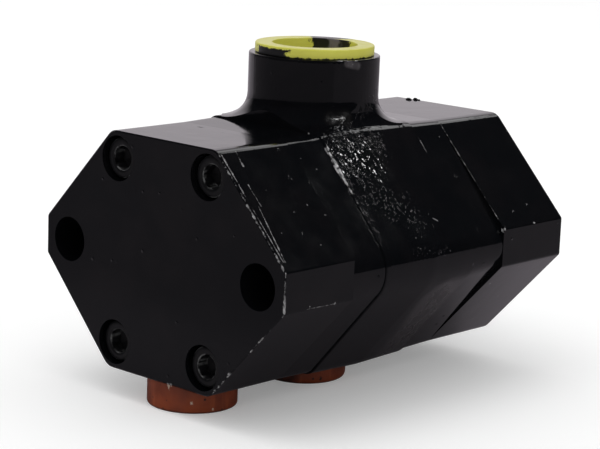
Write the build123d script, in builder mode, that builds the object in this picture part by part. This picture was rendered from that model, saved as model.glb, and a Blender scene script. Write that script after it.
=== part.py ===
from build123d import *
import math
import os

# Tandem gear pump: two gear sections, one on each side of a centre port block, clamped between two covers.
# +Y runs along the drive shaft to its free end and +Z points up at the inlet. The origin lies on the
# drive shaft's axis in the mounting face. A distance called back is measured from that face to the rear.

# Points closer than this count as the same place when edges and corners are picked
same_place = 0.01

# Casing sections along the shaft
front_cover_length = 44.5
front_housing_length = 21.0
centre_block_length = 61.0
rear_housing_length = 20.0
rear_cover_length = 42.0

# Gears and journals
teeth = 12
gear_module = 3.25
pressure_angle = 20.0
addendum = 3.0
dedendum = 4.06
backlash = 0.2
tooth_root_radius = 0.8
flank_points = 5
tip_clearance = 0.15
gear_side_clearance = 0.05
wear_plate_thickness = 2.5
wear_plate_clearance = 0.05
wear_plate_bore_clearance = 0.2
journal_radius = 11.0
journal_clearance = 0.04
journal_end_gap = 0.5
bush_wall = 2.0
bush_length = 24.0
bush_chamfer = 0.5
seat_clearance = 0.02

# Oil passages beside the gear mesh
passage_radius = 6.5
passage_height = 16.0
plate_notch_clearance = 0.5

# Face seals between the sections
seal_land = 2.2
seal_width = 2.2
seal_depth = 1.8
seal_clearance = 0.05

# Through holes at the tips and tie screws at the corners
tip_hole_radius = 10.0
tip_hole_wall = 2.05
tip_wall = 5.4
screw_radius = 6.0
screw_hole_clearance = 0.5
screw_thread_clearance = 0.05
screw_inner_wall = 7.4
screw_edge_distance = 12.05
screw_engagement = 25.0
screw_tip_gap = 3.5
screw_tip_chamfer = 1.5
screw_head_radius = 9.0
screw_head_height = 12.0
screw_head_rounding = 1.0
screw_head_recess = 2.4
counterbore_clearance = 1.0
hex_across_flats = 10.0
hex_depth = 6.0
hex_turn = 15.0

# Dowels across each joint face
dowel_radius = 4.0
dowel_length = 16.0
dowel_clearance = 0.02
dowel_end_gap = 0.5
dowel_side = 27.0
dowel_height = 20.0

# Casing outline across the shaft
port_side_wall = 4.65
flat_edge_margin = 4.65
side_half_height = 8.7
long_edge_radius = 7.0
side_edge_radius = 2.0
face_edge_chamfer = 0.6
nose_radius = 15.2
casting_draft = 1.6
block_step = 0.7
block_edge_rounding = 0.4

# Inlet boss on the centre block, and the ports
port_line = 30.0
rear_outlet_distance = 21.9
boss_radius = 29.7
boss_rise = 31.2
boss_base_radius = 11.5
boss_rim_rounding = 0.6
inlet_thread_radius = 22.4
inlet_thread_depth = 28.0
inlet_bore_radius = 18.0
inlet_bore_floor = 27.5
inlet_feed_radius = 10.0
outlet_thread_radius = 16.5
outlet_thread_depth = 20.0
outlet_feed_radius = 8.0
outlet_spotface_margin = 1.5

# Mounting pilot, shaft seal and drive shaft end
pilot_radius = 25.0
pilot_height = 8.0
pilot_chamfer = 1.0
shaft_seal_radius = 17.5
shaft_seal_length = 7.0
shaft_seal_wall = 1.5
shaft_seal_cavity = 4.5
shaft_seal_clearance = 0.08
shaft_bore_clearance = 1.0
ring_recess = 2.0
ring_thickness = 1.5
ring_groove_clearance = 0.1
ring_groove_depth = 1.1
ring_width = 2.6
ring_gap = 9.0
ring_eye_radius = 2.4
ring_eye_hole_radius = 1.0
shaft_reach = 42.0
shaft_spline_length = 30.0
shaft_spline_minor_radius = 9.0
shaft_spline_key_width = 5.0
shaft_end_chamfer = 1.0

# Splined connecting shaft between the two gear sections
link_minor_radius = 5.5
link_major_radius = 7.0
link_key_width = 3.0
link_clearance = 0.08
link_engagement = 12.0
link_floor_gap = 2.0
link_chamfer = 0.6
link_hole_margin = 1.5
spline_keys = 6

# Plastic port plugs
inlet_plug_flange_radius = 27.0
inlet_plug_flange_height = 4.5
inlet_plug_recess_radius = 19.3
inlet_plug_depth = 18.0
outlet_cap_radius = 20.0
outlet_cap_height = 13.0
outlet_cap_recess_radius = 13.5
outlet_cap_depth = 15.0
rear_cap_rounding = 1.2
centre_cap_rounding = 4.0
plug_floor = 2.0
plug_taper = 0.9
plug_clearance = 0.1
plug_edge_rounding = 0.5
cap_rib_angle = -55.0
cap_rib_width = 3.6
cap_rib_rise = 0.5

# Gear sizes
pitch_radius = gear_module * teeth / 2
tip_radius = pitch_radius + addendum
root_radius = pitch_radius - dedendum
base_radius = pitch_radius * math.cos(math.radians(pressure_angle))
half_centre_distance = pitch_radius
housing_bore_radius = tip_radius + tip_clearance
bush_radius = journal_radius + bush_wall
bush_seat_radius = bush_radius + seat_clearance

# Places across the shaft, from the casing's own middle
seal_inner_radius = housing_bore_radius + seal_land
seal_outer_radius = seal_inner_radius + seal_width
tip_hole_x = half_centre_distance + seal_outer_radius + tip_hole_wall + tip_hole_radius
half_width = tip_hole_x + tip_hole_radius + tip_wall
screw_hole_radius = screw_radius + screw_hole_clearance
counterbore_radius = screw_head_radius + counterbore_clearance
screw_x = outlet_thread_radius + port_side_wall + screw_hole_radius
screw_z = seal_outer_radius + screw_inner_wall + screw_hole_radius
half_height = screw_z + screw_edge_distance
flat_half_width = screw_x + flat_edge_margin
dowel_x = half_centre_distance + dowel_side

# Places along the shaft, back from the mounting face
front_housing_back = front_cover_length
centre_block_back = front_housing_back + front_housing_length
rear_housing_back = centre_block_back + centre_block_length
rear_cover_back = rear_housing_back + rear_housing_length
rear_face_back = rear_cover_back + rear_cover_length
port_back = centre_block_back + port_line
rear_outlet_back = rear_face_back - rear_outlet_distance
screw_seat_back = rear_face_back - screw_head_recess - screw_head_height
screw_end_back = front_housing_back - screw_engagement
front_journal_end = centre_block_back + bush_length - journal_end_gap
rear_journal_end = rear_housing_back - bush_length + journal_end_gap
boss_top = half_height + boss_rise


def section_plane(back):
    """Cross-section plane on the casing's middle: local x is X, local y is Z, and it faces the rear."""
    return Plane(origin=(half_centre_distance, -back, 0), x_dir=(1, 0, 0), z_dir=(0, -1, 0))


def shaft_plane(back, x):
    """Cross-section plane whose origin is on a shaft's axis."""
    return Plane(origin=(x, -back, 0), x_dir=(1, 0, 0), z_dir=(0, -1, 0))


def port_plane(back, height, direction=1):
    """Level plane on a port's axis, facing up, or down with direction -1."""
    return Plane(origin=(half_centre_distance, -back, height), x_dir=(1, 0, 0), z_dir=(0, 0, direction))


drive_x = 0.0
idler_x = 2 * half_centre_distance
growth_per_mm = math.tan(math.radians(casting_draft))

# The covers' outline: an eight-sided section with its long edges rounded
with BuildSketch() as cover_outline:
    with BuildLine():
        Polyline(
            (half_width, side_half_height),
            (flat_half_width, half_height),
            (-flat_half_width, half_height),
            (-half_width, side_half_height),
            (-half_width, -side_half_height),
            (-flat_half_width, -half_height),
            (flat_half_width, -half_height),
            (half_width, -side_half_height),
            close=True,
        )
    make_face()
    corners = cover_outline.vertices()
    fillet(corners.group_by(Axis.Y)[0] + corners.group_by(Axis.Y)[-1], radius=long_edge_radius)
    corners = cover_outline.vertices()
    fillet(corners.group_by(Axis.X)[0] + corners.group_by(Axis.X)[-1], radius=side_edge_radius)


def cast_outline(growth):
    """Outline of a cast section: round noses about the tip holes, joined by tangents to the long edges."""
    slant = math.atan2(half_height - side_half_height, half_width - flat_half_width)
    corner_x = flat_half_width - long_edge_radius * math.tan(slant / 2)
    corner_z = half_height - long_edge_radius
    corner_radius = long_edge_radius + growth
    nose = nose_radius + growth
    run = math.hypot(tip_hole_x - corner_x, corner_z)
    slope = math.atan2(-corner_z, tip_hole_x - corner_x)
    outward = slope + math.acos((long_edge_radius - nose_radius) / run)
    tangent = Vector(math.cos(outward), math.sin(outward))
    corner = Vector(corner_x, corner_z)
    tip = Vector(tip_hole_x, 0)
    with BuildSketch(Plane.XY, mode=Mode.PRIVATE) as outline:
        with BuildLine(Plane.XY):
            top = Line((0, corner_z + corner_radius), (corner_x, corner_z + corner_radius))
            bend = RadiusArc(top @ 1, corner + tangent * corner_radius, corner_radius)
            flank = Line(bend @ 1, tip + tangent * nose)
            RadiusArc(flank @ 1, (tip_hole_x + nose, 0), nose)
            mirror(about=Plane.YZ)
            mirror(about=Plane.XZ)
        make_face()
    return outline.sketch


def drafted(back_near, growth_near, back_far, growth_far):
    """Cast length whose outline grows evenly from one end to the other."""
    ends = []
    for back, growth in ((back_near, growth_near), (back_far, growth_far)):
        with BuildSketch(section_plane(back), mode=Mode.PRIVATE) as end:
            add(cast_outline(growth))
        ends.append(end.sketch)
    loft(ends, ruled=True)


def cut_along(back, length, outline):
    """Cut an outline of the section plane through a length, towards the rear."""
    with BuildSketch(section_plane(back), mode=Mode.PRIVATE) as cut:
        add(outline)
    extrude(cut.sketch, amount=length, mode=Mode.SUBTRACT)


def bore_along(back, length, radius, spots):
    """Round bores along the shaft, from one section plane towards the rear."""
    with BuildSketch(section_plane(back), mode=Mode.PRIVATE) as bores:
        with Locations(*spots):
            Circle(radius)
    extrude(bores.sketch, amount=length, mode=Mode.SUBTRACT)


# Spots shared by the sections, in the section plane
screw_spots = [(side * screw_x, end * screw_z) for side in (-1, 1) for end in (-1, 1)]
tip_spots = [(-tip_hole_x, 0), (tip_hole_x, 0)]
gear_spots = [(-half_centre_distance, 0), (half_centre_distance, 0)]
dowel_spots = [(dowel_x, dowel_height), (-dowel_x, -dowel_height)]


def bolt_holes(back, length):
    """The tie screw and tip holes of a section that they pass right through."""
    bore_along(back, length, screw_hole_radius, screw_spots)
    bore_along(back, length, tip_hole_radius, tip_spots)


def dowel_holes(back, towards_rear):
    """Blind dowel holes in a joint face, drilled towards the rear or the front."""
    depth = dowel_length / 2 + dowel_end_gap
    bore_along(back, depth if towards_rear else -depth, dowel_radius + dowel_clearance, dowel_spots)


def bush_seats(back, towards_rear):
    """The pair of bush seats in a joint face."""
    bore_along(back, bush_length if towards_rear else -bush_length, bush_seat_radius, gear_spots)


# The two gear bores run into each other, and the passages widen them beside the mesh
with BuildSketch() as chamber_outline:
    with Locations(*gear_spots):
        Circle(housing_bore_radius)
    with Locations((0, passage_height), (0, -passage_height)):
        Circle(passage_radius)

# A face seal runs round both bores, between them and the tip holes
with BuildSketch() as seal_groove_outline:
    SlotCenterToCenter(2 * half_centre_distance, 2 * seal_outer_radius)
    SlotCenterToCenter(2 * half_centre_distance, 2 * seal_inner_radius, mode=Mode.SUBTRACT)
with BuildSketch() as seal_outline:
    SlotCenterToCenter(2 * half_centre_distance, 2 * (seal_outer_radius - seal_clearance))
    SlotCenterToCenter(2 * half_centre_distance, 2 * (seal_inner_radius + seal_clearance), mode=Mode.SUBTRACT)


def finish(built, name):
    """Label a finished piece and write it under its own name."""
    built.part.label = name
    export_step(built.part, f"parts/{name}.step")


os.makedirs("parts", exist_ok=True)

# Rear cover: bearing seats inside, screw heads in its outer face, the rear section's outlet below
with BuildPart() as rear_cover:
    with BuildSketch(section_plane(rear_cover_back)):
        add(cover_outline.sketch)
    extrude(amount=rear_cover_length)
    chamfer(rear_cover.faces().sort_by(Axis.Y)[0].edges(), length=face_edge_chamfer)
    bush_seats(rear_cover_back, towards_rear=True)
    dowel_holes(rear_cover_back, towards_rear=True)
    bore_along(rear_cover_back, rear_cover_length, tip_hole_radius, tip_spots)
    with Locations(section_plane(rear_face_back)):
        with Locations(*screw_spots):
            CounterBoreHole(screw_hole_radius, counterbore_radius, screw_head_recess + screw_head_height)
    outlet_passage_length = rear_outlet_back - rear_cover_back
    bore_along(rear_cover_back, outlet_passage_length, passage_radius, [(0, -passage_height)])
    with Locations(port_plane(rear_outlet_back, -half_height, -1)):
        CounterBoreHole(
            outlet_feed_radius, outlet_thread_radius, outlet_thread_depth, depth=half_height - passage_height
        )
finish(rear_cover, "rear_cover")

# Gear housings: plain rings with the gear bores, drafted towards the cover each one meets
housings = [
    ("front_gear_housing", front_housing_back, front_housing_length, True),
    ("rear_gear_housing", rear_housing_back, rear_housing_length, False),
]
for name, back, length, grows_rearwards in housings:
    with BuildPart() as housing:
        growth = length * growth_per_mm
        drafted(back, 0 if grows_rearwards else growth, back + length, growth if grows_rearwards else 0)
        cut_along(back, length, chamber_outline.sketch)
        cut_along(back, seal_depth, seal_groove_outline.sketch)
        cut_along(back + length, -seal_depth, seal_groove_outline.sketch)
        bolt_holes(back, length)
        dowel_holes(back, towards_rear=True)
        dowel_holes(back + length, towards_rear=False)
    finish(housing, name)

# The inlet boss with its flared foot, trimmed so that the flare runs out on the block's long edges
front_growth = front_housing_length * growth_per_mm + block_step
port_growth = front_growth + port_line * growth_per_mm
rear_growth = port_growth - (centre_block_length - port_line) * growth_per_mm
foot_growth = min(front_growth, rear_growth)
foot_height = half_height + foot_growth
flare_radius = boss_radius + boss_base_radius
with BuildPart() as inlet_boss:
    with BuildSketch(section_plane(port_back)):
        with BuildLine():
            base = Polyline((0, 0), (flare_radius, 0), (flare_radius, foot_height))
            flare = RadiusArc(base @ 1, (boss_radius, foot_height + boss_base_radius), boss_base_radius)
            Polyline(flare @ 1, (boss_radius, boss_top), (0, boss_top), (0, 0))
        make_face()
    revolve(axis=Axis((half_centre_distance, -port_back, 0), (0, 0, 1)))
    fillet(inlet_boss.edges().group_by(Axis.Z)[-1], radius=boss_rim_rounding)
    with BuildSketch(section_plane(centre_block_back)):
        add(cast_outline(foot_growth))
        Rectangle(2 * boss_radius, boss_top, align=(Align.CENTER, Align.MIN))
        # Growing the outline and shrinking it again rounds the hollow corners only
        offset(amount=boss_base_radius, kind=Kind.ARC, mode=Mode.REPLACE)
        offset(amount=-boss_base_radius, kind=Kind.ARC, mode=Mode.REPLACE)
    extrude(amount=centre_block_length, mode=Mode.INTERSECT)

# Centre port block: drafted both ways from the port line, open to the gears at both ends
web_length = centre_block_length - 2 * bush_length
link_hole_radius = link_major_radius + link_hole_margin
with BuildPart() as centre_port_block:
    drafted(centre_block_back, front_growth, port_back, port_growth)
    drafted(port_back, port_growth, rear_housing_back, rear_growth)
    ends = centre_port_block.faces().sort_by(Axis.Y)
    chamfer(ends[0].edges() + ends[-1].edges(), length=block_edge_rounding)
    add(inlet_boss.part)
    with Locations(port_plane(port_back, boss_top)):
        CounterBoreHole(
            inlet_bore_radius, inlet_thread_radius, inlet_thread_depth, depth=boss_top - inlet_bore_floor
        )
    with Locations(port_plane(port_back, inlet_bore_floor)):
        Hole(inlet_feed_radius, depth=inlet_bore_floor - passage_height)
    bore_along(centre_block_back, centre_block_length, passage_radius, [(0, passage_height)])
    spotface_radius = outlet_cap_radius + outlet_spotface_margin
    with Locations(port_plane(port_back, -half_height - port_growth, -1)):
        Hole(spotface_radius, depth=port_growth)
    with Locations(port_plane(port_back, -half_height, -1)):
        CounterBoreHole(
            outlet_feed_radius, outlet_thread_radius, outlet_thread_depth, depth=half_height - passage_height
        )
    bore_along(centre_block_back, port_line, passage_radius, [(0, -passage_height)])
    bush_seats(centre_block_back, towards_rear=True)
    bush_seats(rear_housing_back, towards_rear=False)
    bore_along(centre_block_back, centre_block_length, link_hole_radius, [(-half_centre_distance, 0)])
    bolt_holes(centre_block_back, centre_block_length)
    dowel_holes(centre_block_back, towards_rear=True)
    dowel_holes(rear_housing_back, towards_rear=False)
finish(centre_port_block, "centre_port_block")

# Front cover: mounting face with pilot, shaft seal seat, bearing seats and the tie screws' threads
seal_bore_depth = ring_recess + ring_thickness + ring_groove_clearance + shaft_seal_length
shaft_hole_radius = journal_radius + shaft_bore_clearance
ring_groove_radius = shaft_seal_radius + ring_groove_depth
ring_groove_width = ring_thickness + ring_groove_clearance
with BuildPart() as front_cover:
    with BuildSketch(section_plane(0)):
        add(cover_outline.sketch)
    extrude(amount=front_cover_length)
    chamfer(front_cover.faces().sort_by(Axis.Y)[-1].edges(), length=face_edge_chamfer)
    with BuildSketch(shaft_plane(0, drive_x)):
        Circle(pilot_radius)
    extrude(amount=-pilot_height)
    chamfer(front_cover.faces().sort_by(Axis.Y)[-1].edges(), length=pilot_chamfer)
    with BuildSketch(shaft_plane(-pilot_height, drive_x)):
        Circle(shaft_seal_radius)
    extrude(amount=seal_bore_depth, mode=Mode.SUBTRACT)
    with BuildSketch(shaft_plane(ring_recess - pilot_height, drive_x)):
        Circle(ring_groove_radius)
    extrude(amount=ring_groove_width, mode=Mode.SUBTRACT)
    with BuildSketch(shaft_plane(-pilot_height, drive_x)):
        Circle(shaft_hole_radius)
    extrude(amount=pilot_height + front_cover_length, mode=Mode.SUBTRACT)
    bush_seats(front_housing_back, towards_rear=False)
    dowel_holes(front_housing_back, towards_rear=False)
    bore_along(0, front_cover_length, tip_hole_radius, tip_spots)
    tapped_depth = screw_engagement + screw_tip_gap
    bore_along(front_housing_back, -tapped_depth, screw_radius + screw_thread_clearance, screw_spots)
finish(front_cover, "front_cover")


def spline_outline(minor_radius, major_radius, key_width):
    """Straight-sided spline, as a face about the shaft's axis."""
    with BuildSketch(Plane.XY, mode=Mode.PRIVATE) as outline:
        Circle(minor_radius)
        with PolarLocations(0, spline_keys):
            Rectangle(2 * major_radius, key_width, align=(Align.MIN, Align.CENTER))
        Circle(major_radius, mode=Mode.INTERSECT)
    return outline.sketch


def gear_outline(turned):
    """Involute gear face about its axis, with its first tooth at the given angle."""
    pitch_cos = base_radius / pitch_radius
    pitch_involute = math.tan(math.acos(pitch_cos)) - math.acos(pitch_cos)
    half_tooth = math.pi / (2 * teeth) - backlash / (4 * pitch_radius)
    flank = []
    for step in range(flank_points):
        radius = base_radius + (tip_radius - base_radius) * step / (flank_points - 1)
        roll = math.acos(min(1, base_radius / radius))
        half_angle = half_tooth + pitch_involute - (math.tan(roll) - roll)
        flank.append((radius * math.cos(half_angle), radius * math.sin(half_angle)))
    start_x, start_y = flank[0]
    foot_x = root_radius * math.cos(math.atan2(start_y, start_x)) - tooth_root_radius
    foot_y = foot_x * start_y / start_x
    with BuildSketch(Plane.XY, mode=Mode.PRIVATE) as tooth:
        with BuildLine(Plane.XY):
            upper = Spline(*flank)
            lower = Spline(*[(x, -y) for x, y in flank])
            ThreePointArc(upper @ 1, (tip_radius, 0), lower @ 1)
            Polyline(upper @ 0, (foot_x, foot_y), (foot_x, -foot_y), lower @ 0)
        make_face()
    with BuildSketch(Plane.XY, mode=Mode.PRIVATE) as outline:
        Circle(root_radius)
        with PolarLocations(0, teeth, start_angle=turned):
            add(tooth.sketch)
        roots = [v for v in outline.vertices() if abs(math.hypot(v.X, v.Y) - root_radius) < same_place]
        fillet(roots, radius=tooth_root_radius)
    return outline.sketch


def turned_length(plane, radius, length):
    """Round stretch of a shaft, from a section plane towards the rear."""
    with BuildSketch(plane, mode=Mode.PRIVATE) as section:
        Circle(radius)
    extrude(section.sketch, amount=length)


def toothed_length(x, housing_back, housing_length, turned):
    """The gear itself, between the two wear plates of its housing."""
    inset = wear_plate_thickness + gear_side_clearance
    with BuildSketch(shaft_plane(housing_back + inset, x), mode=Mode.PRIVATE) as face:
        add(gear_outline(turned))
    extrude(face.sketch, amount=housing_length - 2 * inset)


# Socket for the connecting shaft, the same in both drive gears
socket_depth = link_engagement + link_floor_gap
socket_minor_radius = link_minor_radius + link_clearance
socket_major_radius = link_major_radius + link_clearance
link_socket = spline_outline(socket_minor_radius, socket_major_radius, link_key_width + 2 * link_clearance)

# Front drive gear: one piece with the input shaft, splined at both ends
with BuildPart() as front_drive_gear:
    plain_start = shaft_reach - shaft_spline_length
    turned_length(shaft_plane(-plain_start, drive_x), journal_radius, plain_start + front_journal_end)
    with BuildSketch(shaft_plane(-shaft_reach, drive_x)):
        add(spline_outline(shaft_spline_minor_radius, journal_radius, shaft_spline_key_width))
    extrude(amount=shaft_spline_length)
    shaft_end = front_drive_gear.faces().sort_by(Axis.Y)[-1]
    chamfer(shaft_end.edges().filter_by(GeomType.CIRCLE), length=shaft_end_chamfer)
    toothed_length(drive_x, front_housing_back, front_housing_length, 0)
    with BuildSketch(shaft_plane(front_journal_end, drive_x)):
        add(link_socket)
    extrude(amount=-socket_depth, mode=Mode.SUBTRACT)
finish(front_drive_gear, "front_drive_gear")

# Rear drive gear, splined at its front end
with BuildPart() as rear_drive_gear:
    rear_shaft_length = rear_cover_back + bush_length - journal_end_gap - rear_journal_end
    turned_length(shaft_plane(rear_journal_end, drive_x), journal_radius, rear_shaft_length)
    toothed_length(drive_x, rear_housing_back, rear_housing_length, 0)
    with BuildSketch(shaft_plane(rear_journal_end, drive_x)):
        add(link_socket)
    extrude(amount=socket_depth, mode=Mode.SUBTRACT)
finish(rear_drive_gear, "rear_drive_gear")

# Idler gears, with a journal on each side and their teeth half a pitch round
half_tooth_pitch = 180 / teeth
idlers = [
    ("front_idler_gear", front_housing_back, front_housing_length),
    ("rear_idler_gear", rear_housing_back, rear_housing_length),
]
journal_reach = bush_length - journal_end_gap
for name, back, length in idlers:
    with BuildPart() as idler:
        turned_length(shaft_plane(back - journal_reach, idler_x), journal_radius, length + 2 * journal_reach)
        toothed_length(idler_x, back, length, half_tooth_pitch)
    finish(idler, name)

# Connecting shaft that carries the drive through the centre block
with BuildPart() as connecting_shaft:
    link_start = front_journal_end - link_engagement
    link_length = rear_journal_end + link_engagement - link_start
    with BuildSketch(shaft_plane(link_start, drive_x)):
        add(spline_outline(link_minor_radius, link_major_radius, link_key_width))
    extrude(amount=link_length)
    ends = connecting_shaft.faces().sort_by(Axis.Y)
    chamfer((ends[0].edges() + ends[-1].edges()).filter_by(GeomType.CIRCLE), length=link_chamfer)
finish(connecting_shaft, "connecting_shaft")

# Bearing bushes, one on each journal
bushes = [
    ("front_cover", front_housing_back - bush_length),
    ("front_block", centre_block_back),
    ("rear_block", rear_housing_back - bush_length),
    ("rear_cover", rear_cover_back),
]
for place, back in bushes:
    for shaft, x in (("drive", drive_x), ("idler", idler_x)):
        with BuildPart() as bush:
            with BuildSketch(shaft_plane(back, x)):
                Circle(bush_radius)
                Circle(journal_radius + journal_clearance, mode=Mode.SUBTRACT)
            extrude(amount=bush_length)
            rims = bush.edges().filter_by(GeomType.CIRCLE)
            chamfer([rim for rim in rims if rim.radius > bush_radius - bush_wall / 2], length=bush_chamfer)
        finish(bush, f"{place}_{shaft}_bush")

# Wear plates on both sides of each gear pair
wear_plates = [
    ("front_cover_wear_plate", front_housing_back),
    ("front_block_wear_plate", centre_block_back - wear_plate_thickness),
    ("rear_block_wear_plate", rear_housing_back),
    ("rear_cover_wear_plate", rear_cover_back - wear_plate_thickness),
]
for name, back in wear_plates:
    with BuildPart() as wear_plate:
        with BuildSketch(section_plane(back)):
            with Locations(*gear_spots):
                Circle(housing_bore_radius - wear_plate_clearance)
            with Locations((0, passage_height), (0, -passage_height)):
                Circle(passage_radius + plate_notch_clearance, mode=Mode.SUBTRACT)
            with Locations(*gear_spots):
                Circle(journal_radius + wear_plate_bore_clearance, mode=Mode.SUBTRACT)
        extrude(amount=wear_plate_thickness)
    finish(wear_plate, name)

# Face seals in the gear housings
face_seals = [
    ("front_cover_seal", front_housing_back),
    ("front_block_seal", centre_block_back - seal_depth),
    ("rear_block_seal", rear_housing_back),
    ("rear_cover_seal", rear_cover_back - seal_depth),
]
for name, back in face_seals:
    with BuildPart() as face_seal:
        with BuildSketch(section_plane(back)):
            add(seal_outline.sketch)
        extrude(amount=seal_depth)
    finish(face_seal, name)

# Dowels across the four joint faces
with BuildPart() as dowel_pins:
    for joint_back in (front_housing_back, centre_block_back, rear_housing_back, rear_cover_back):
        with BuildSketch(section_plane(joint_back - dowel_length / 2)):
            with Locations(*dowel_spots):
                Circle(dowel_radius)
        extrude(amount=dowel_length)
finish(dowel_pins, "dowel_pins")

# Tie screws: hexagon socket heads in the rear cover, threads in the front cover
with BuildPart() as tie_screws:
    with BuildSketch(section_plane(screw_end_back)):
        with Locations(*screw_spots):
            Circle(screw_radius)
    extrude(amount=screw_seat_back - screw_end_back)
    chamfer(tie_screws.faces().group_by(Axis.Y)[-1].edges(), length=screw_tip_chamfer)
    with BuildSketch(section_plane(screw_seat_back)):
        with Locations(*screw_spots):
            Circle(screw_head_radius)
    extrude(amount=screw_head_height)
    fillet(tie_screws.faces().group_by(Axis.Y)[0].edges(), radius=screw_head_rounding)
    with BuildSketch(section_plane(screw_seat_back + screw_head_height - hex_depth)):
        with Locations(*screw_spots):
            RegularPolygon(hex_across_flats / 2, 6, major_radius=False, rotation=hex_turn)
    extrude(amount=hex_depth, mode=Mode.SUBTRACT)
finish(tie_screws, "tie_screws")

# Shaft seal: a ring with an open cavity towards the oil
with BuildPart() as shaft_seal:
    seal_front_back = ring_recess + ring_groove_width - pilot_height
    with BuildSketch(shaft_plane(seal_front_back, drive_x)):
        Circle(shaft_seal_radius - seat_clearance)
        Circle(journal_radius + shaft_seal_clearance, mode=Mode.SUBTRACT)
    extrude(amount=shaft_seal_length)
    with BuildSketch(shaft_plane(seal_front_back + shaft_seal_length, drive_x)):
        Circle(shaft_seal_radius - seat_clearance - shaft_seal_wall)
        Circle(journal_radius + shaft_seal_clearance + shaft_seal_wall, mode=Mode.SUBTRACT)
    extrude(amount=-shaft_seal_cavity, mode=Mode.SUBTRACT)
finish(shaft_seal, "shaft_seal")

# Retaining ring that keeps the shaft seal in
with BuildPart() as seal_ring:
    ring_radius = ring_groove_radius - ring_groove_clearance
    eye_x = ring_gap / 2 + ring_eye_radius
    eye_z = math.sqrt((ring_radius - ring_eye_radius - ring_groove_depth) ** 2 - eye_x**2)
    with BuildSketch(shaft_plane(ring_recess - pilot_height + ring_groove_clearance / 2, drive_x)):
        Circle(ring_radius)
        Circle(ring_radius - ring_width, mode=Mode.SUBTRACT)
        Rectangle(ring_gap, 2 * ring_radius, align=(Align.CENTER, Align.MIN), mode=Mode.SUBTRACT)
        with Locations((eye_x, eye_z), (-eye_x, eye_z)):
            Circle(ring_eye_radius)
            Circle(ring_eye_hole_radius, mode=Mode.SUBTRACT)
    extrude(amount=ring_thickness)
finish(seal_ring, "seal_ring")


def cup_plug(back, seat, direction, head, neck_radius, recess_radius, depth):
    """Moulded cup plug, open outwards: a round head outside the port and a tapered cup inside it."""
    head_radius, head_height, head_rounding = head
    middle = Plane(origin=(half_centre_distance, -back, seat), x_dir=(1, 0, 0), z_dir=(0, -direction, 0))
    with BuildSketch(middle, mode=Mode.PRIVATE) as profile:
        with BuildLine(Plane.XY):
            Polyline(
                (0, -depth),
                (neck_radius - plug_taper, -depth),
                (neck_radius, 0),
                (head_radius, 0),
                (head_radius, head_height),
                (recess_radius, head_height),
                (recess_radius - plug_taper, plug_floor - depth),
                (0, plug_floor - depth),
                close=True,
            )
        make_face()
        rim = profile.vertices().group_by(Axis.Y)[-1].sort_by(Axis.X)
        fillet(rim[-1], radius=head_rounding)
        fillet(rim[0], radius=plug_edge_rounding)
    revolve(profile.sketch, axis=Axis((half_centre_distance, -back, 0), (0, 0, 1)))


# Inlet plug, its flange on the boss's rim
with BuildPart() as inlet_plug:
    cup_plug(
        port_back,
        boss_top,
        1,
        (inlet_plug_flange_radius, inlet_plug_flange_height, plug_edge_rounding),
        inlet_thread_radius - plug_clearance,
        inlet_plug_recess_radius,
        inlet_plug_depth,
    )
finish(inlet_plug, "inlet_plug")

# Centre outlet's cap, with a large rounded edge
with BuildPart() as centre_outlet_cap:
    cup_plug(
        port_back,
        -half_height,
        -1,
        (outlet_cap_radius, outlet_cap_height, centre_cap_rounding),
        outlet_thread_radius - plug_clearance,
        outlet_cap_recess_radius,
        outlet_cap_depth,
    )
finish(centre_outlet_cap, "centre_outlet_cap")

# The rear outlet's cap has a sharper edge and one low rib down its side
with BuildPart() as rear_outlet_cap:
    cup_plug(
        rear_outlet_back,
        -half_height,
        -1,
        (outlet_cap_radius, outlet_cap_height, rear_cap_rounding),
        outlet_thread_radius - plug_clearance,
        outlet_cap_recess_radius,
        outlet_cap_depth,
    )
    with BuildSketch(port_plane(rear_outlet_back, rear_cap_rounding - half_height - outlet_cap_height)):
        with PolarLocations(outlet_cap_radius, 1, start_angle=cap_rib_angle):
            Rectangle(2 * cap_rib_rise, cap_rib_width)
    extrude(amount=outlet_cap_height - rear_cap_rounding)
finish(rear_outlet_cap, "rear_outlet_cap")
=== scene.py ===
import math

import bmesh
import bpy
import numpy as np
from mathutils import Matrix, Vector, noise


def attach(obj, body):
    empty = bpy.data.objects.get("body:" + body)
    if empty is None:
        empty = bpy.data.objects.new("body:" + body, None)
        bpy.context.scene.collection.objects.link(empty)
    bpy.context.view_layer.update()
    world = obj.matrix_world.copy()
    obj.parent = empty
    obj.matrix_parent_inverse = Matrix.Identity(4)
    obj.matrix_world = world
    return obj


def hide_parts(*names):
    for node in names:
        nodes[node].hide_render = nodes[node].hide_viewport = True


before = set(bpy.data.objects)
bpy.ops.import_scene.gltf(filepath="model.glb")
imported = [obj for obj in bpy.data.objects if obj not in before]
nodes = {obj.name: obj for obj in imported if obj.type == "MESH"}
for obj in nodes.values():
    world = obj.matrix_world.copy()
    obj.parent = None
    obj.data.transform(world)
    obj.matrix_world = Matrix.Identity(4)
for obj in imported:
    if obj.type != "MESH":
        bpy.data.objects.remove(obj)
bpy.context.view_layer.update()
mm = 0.001

# Places on the pump, in metres: +Y towards the shaft end, +Z up
middleX = 0.0195
portY = -0.0955
rearOutletY = -0.1666
halfHeight = 0.053
bossTop = 0.0842
restHeight = -0.066

# Camera, fitted to the photograph's edges
cameraSetup = {
    "place": (0.64159, -0.77481, 0.19361),
    "azimuth": 42.707,
    "elevation": 11.591,
    "roll": 2.184,
    "lens": 122.766,
    "sensor": 36,
    "clip": (0.01, 50),
}


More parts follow.
